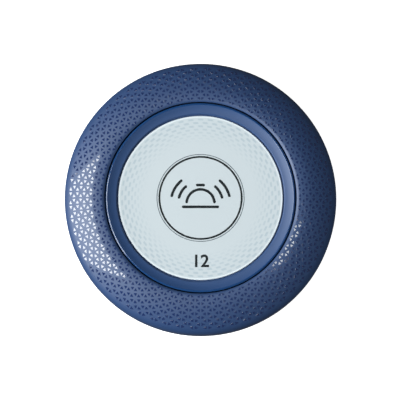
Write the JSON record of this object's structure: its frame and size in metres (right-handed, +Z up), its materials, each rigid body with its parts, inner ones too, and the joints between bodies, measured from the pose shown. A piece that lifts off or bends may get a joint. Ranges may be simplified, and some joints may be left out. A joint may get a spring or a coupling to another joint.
{
  "type": "waiter call button",
  "caption": "Round table-top call button: textured housing ring, dished press cap with a printed label, twist-off battery door underneath, and a small radio transmitter inside.",
  "frame": {"origin": "on the table under the middle of the puck, level with the feet", "axes": "+Z up through the press cap, +Y towards the twelve o'clock side of the label, +X to its right"},
  "size_m": [0.088, 0.088, 0.022],
  "materials": {
    "top_shell": "moulded ABS, polished raised triangles on a satin ground",
    "base_shell": "moulded ABS, fine spark-eroded grain",
    "case_gasket": "soft silicone",
    "rubber_feet": "soft silicone, matte",
    "case_screws": "zinc plated steel",
    "return_springs": "bright spring wire",
    "coin_cell": "nickel plated steel can",
    "positive_contact": "nickel plated spring steel",
    "negative_contact": "nickel plated spring steel",
    "circuit_board": "glass epoxy board with green solder mask",
    "board_screws": "zinc plated steel",
    "tact_switch_body": "moulded nylon",
    "tact_switch_frame": "stamped steel",
    "switch_dome": "stainless snap dome",
    "switch_terminals": "tinned strip",
    "switch_plunger": "moulded nylon",
    "controller_chip": "moulded epoxy with tinned leads",
    "radio_chip": "moulded epoxy with tinned leads",
    "crystal": "seam welded can",
    "ceramic_capacitors": "ceramic with tinned ends",
    "chip_resistors": "ceramic with black coat",
    "status_led": "white reflector with clear resin",
    "antenna_coil": "enamelled copper wire",
    "button_cap": "moulded ABS, satin",
    "face_label": "printed polycarbonate film, fine matte lacquer",
    "light_pipe": "clear acrylic",
    "battery_door": "moulded ABS, fine grain",
    "door_gasket": "soft silicone"
  },
  "bodies": {
    "housing": {"top_shell": "top_shell", "base_shell": "base_shell", "case_gasket": "case_gasket", "rubber_feet": "rubber_feet", "case_screws": "case_screws", "return_springs": "return_springs", "coin_cell": "coin_cell", "positive_contact": "positive_contact", "negative_contact": "negative_contact", "circuit_board": "circuit_board", "board_screws": "board_screws", "tact_switch_body": "tact_switch_body", "tact_switch_frame": "tact_switch_frame", "switch_dome": "switch_dome", "switch_terminals": "switch_terminals", "controller_chip": "controller_chip", "radio_chip": "radio_chip", "crystal": "crystal", "ceramic_capacitors": "ceramic_capacitors", "chip_resistors": "chip_resistors", "status_led": "status_led", "antenna_coil": "antenna_coil"},
    "cap": {"button_cap": "button_cap", "face_label": "face_label", "light_pipe": "light_pipe"},
    "plunger": {"switch_plunger": "switch_plunger"},
    "door": {"battery_door": "battery_door", "door_gasket": "door_gasket"}
  },
  "joints": [
    {"name": "cap_press", "type": "slide", "parent": "housing", "child": "cap", "axis": [0, 0, -1], "range_m": [0, 0.0008], "stiffness_N_per_m": 2500, "springref_m": -0.0001, "deforming": ["return_springs"]},
    {"name": "plunger_press", "type": "slide", "parent": "housing", "child": "plunger", "axis": [0, 0, -1], "range_m": [0, 0.0003], "stiffness_N_per_m": 0.02, "springref_m": -0.0101},
    {"name": "door_turn", "type": "hinge", "parent": "housing", "child": "door", "pos_m": [0, 0, 0.002], "axis": [0, 0, -1], "range_deg": [0, 40]}
  ],
  "couplings": [
    {"joint": "plunger_press", "follows": "cap_press", "ratio": 0.375}
  ]
}
